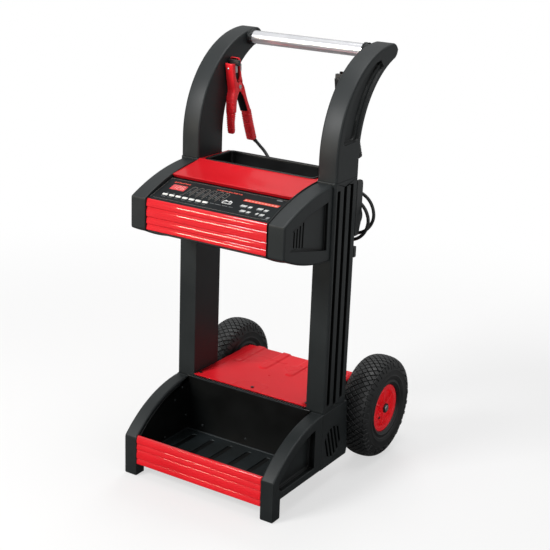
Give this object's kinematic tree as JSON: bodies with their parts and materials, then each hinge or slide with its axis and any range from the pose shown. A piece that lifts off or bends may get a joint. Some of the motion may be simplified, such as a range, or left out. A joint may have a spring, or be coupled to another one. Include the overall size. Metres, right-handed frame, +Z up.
{
  "type": "wheeled car battery charger",
  "caption": "Cart-style car battery charger: side frames with an open battery tray, a deck, a charger box with control panel and tool tray, hanging clamps, pneumatic wheels and a handle bar.",
  "frame": {"origin": "on the floor under the middle of the whole cart", "axes": "+Z up, +X to the user's right, +Y to the back"},
  "size_m": [0.508, 0.594, 1.038],
  "materials": {
    "black_abs": "moulded, fine texture",
    "red_paint": "gloss powder coat",
    "red_extrusion": "gloss paint on a ribbed extrusion",
    "tub_plastic": "moulded",
    "chrome": "polished",
    "tyre": "block tread",
    "rim_plastic": "moulded",
    "panel_film": "printed film",
    "display_lens": "clear red",
    "key_plastic": "printed",
    "black_paint": "powder coat",
    "core_steel": "laminated",
    "copper_wire": "lacquered wire",
    "sink_aluminium": "extruded",
    "board_green": "solder mask",
    "fan_plastic": "moulded",
    "clamp_red": "moulded grips",
    "clamp_black": "moulded grips",
    "zinc_steel": "zinc plated",
    "cord_jacket": "extruded"
  },
  "bodies": {
    "cart": {"left_tray_side": "black_abs", "right_tray_side": "black_abs", "left_base_box": "black_abs", "right_base_box": "black_abs", "left_post": "black_abs", "right_post": "black_abs", "left_handle_arm": "black_abs", "right_handle_arm": "black_abs", "bar_collars": "black_abs", "left_cheek": "black_abs", "right_cheek": "black_abs", "deck": "red_paint", "top_cover": "red_paint", "front_panel": "red_extrusion", "tray_front_bar": "red_extrusion", "battery_tray": "tub_plastic", "tool_tray": "tub_plastic", "handle_bar": "chrome", "axle": "chrome", "control_fascia": "panel_film", "display_window": "display_lens", "left_chassis_plate": "black_paint", "right_chassis_plate": "black_paint", "base_pan": "black_paint", "rear_cover": "black_paint", "clamp_hooks": "black_paint", "cord_hooks": "black_paint", "retaining_rings": "black_paint", "transformer_core": "core_steel", "transformer_coil": "copper_wire", "heat_sink": "sink_aluminium", "circuit_board": "board_green", "fan_frame": "fan_plastic", "red_clamp_body": "clamp_red", "black_clamp_body": "clamp_black", "clamp_pins": "zinc_steel", "clamp_springs": "zinc_steel", "screws": "zinc_steel", "mains_cord_coil": "cord_jacket", "mains_cord_end": "cord_jacket", "red_lead_coil": "cord_jacket", "red_lead_end": "cord_jacket", "black_lead_coil": "cord_jacket", "black_lead_end": "cord_jacket", "mains_plug": "cord_jacket", "cord_glands": "cord_jacket"},
    "left_wheel": {"left_tyre": "tyre", "left_rim": "rim_plastic"},
    "right_wheel": {"right_tyre": "tyre", "right_rim": "rim_plastic"},
    "red_jaw": {"red_clamp_lever": "clamp_red"},
    "black_jaw": {"black_clamp_lever": "clamp_black"},
    "fan": {"fan_rotor": "fan_plastic"},
    "key_1_cap": {"key_1": "key_plastic"},
    "key_2_cap": {"key_2": "key_plastic"},
    "key_3_cap": {"key_3": "key_plastic"},
    "key_4_cap": {"key_4": "key_plastic"},
    "key_5_cap": {"key_5": "key_plastic"},
    "key_6_cap": {"key_6": "key_plastic"},
    "key_7_cap": {"key_7": "key_plastic"}
  },
  "joints": [
    {"name": "left_wheel_spin", "type": "hinge", "parent": "cart", "child": "left_wheel", "pos_m": [-0.215, 0.167, 0.13], "axis": [1, 0, 0], "continuous": true},
    {"name": "right_wheel_spin", "type": "hinge", "parent": "cart", "child": "right_wheel", "pos_m": [0.215, 0.167, 0.13], "axis": [1, 0, 0], "continuous": true},
    {"name": "red_clamp_open", "type": "hinge", "parent": "cart", "child": "red_jaw", "pos_m": [-0.15, 0.0475, 0.9085], "axis": [1, 0, 0], "range_deg": [0, 20], "stiffness_Nm_per_rad": 2, "springref_deg": -17.19},
    {"name": "black_clamp_open", "type": "hinge", "parent": "cart", "child": "black_jaw", "pos_m": [0.15, 0.0475, 0.9085], "axis": [1, 0, 0], "range_deg": [0, 20], "stiffness_Nm_per_rad": 2, "springref_deg": -17.19},
    {"name": "fan_spin", "type": "hinge", "parent": "cart", "child": "fan", "pos_m": [0.184, -0.193, 0.646], "axis": [1, 0, 0], "continuous": true},
    {"name": "key_1_press", "type": "slide", "parent": "cart", "child": "key_1_cap", "axis": [0, 0.309, -0.9511], "range_m": [0, 0.001], "stiffness_N_per_m": 400},
    {"name": "key_2_press", "type": "slide", "parent": "cart", "child": "key_2_cap", "axis": [0, 0.309, -0.9511], "range_m": [0, 0.001], "stiffness_N_per_m": 400},
    {"name": "key_3_press", "type": "slide", "parent": "cart", "child": "key_3_cap", "axis": [0, 0.309, -0.9511], "range_m": [0, 0.001], "stiffness_N_per_m": 400},
    {"name": "key_4_press", "type": "slide", "parent": "cart", "child": "key_4_cap", "axis": [0, 0.309, -0.9511], "range_m": [0, 0.001], "stiffness_N_per_m": 400},
    {"name": "key_5_press", "type": "slide", "parent": "cart", "child": "key_5_cap", "axis": [0, 0.309, -0.9511], "range_m": [0, 0.001], "stiffness_N_per_m": 400},
    {"name": "key_6_press", "type": "slide", "parent": "cart", "child": "key_6_cap", "axis": [0, 0.309, -0.9511], "range_m": [0, 0.001], "stiffness_N_per_m": 400},
    {"name": "key_7_press", "type": "slide", "parent": "cart", "child": "key_7_cap", "axis": [0, 0.309, -0.9511], "range_m": [0, 0.001], "stiffness_N_per_m": 400}
  ]
}
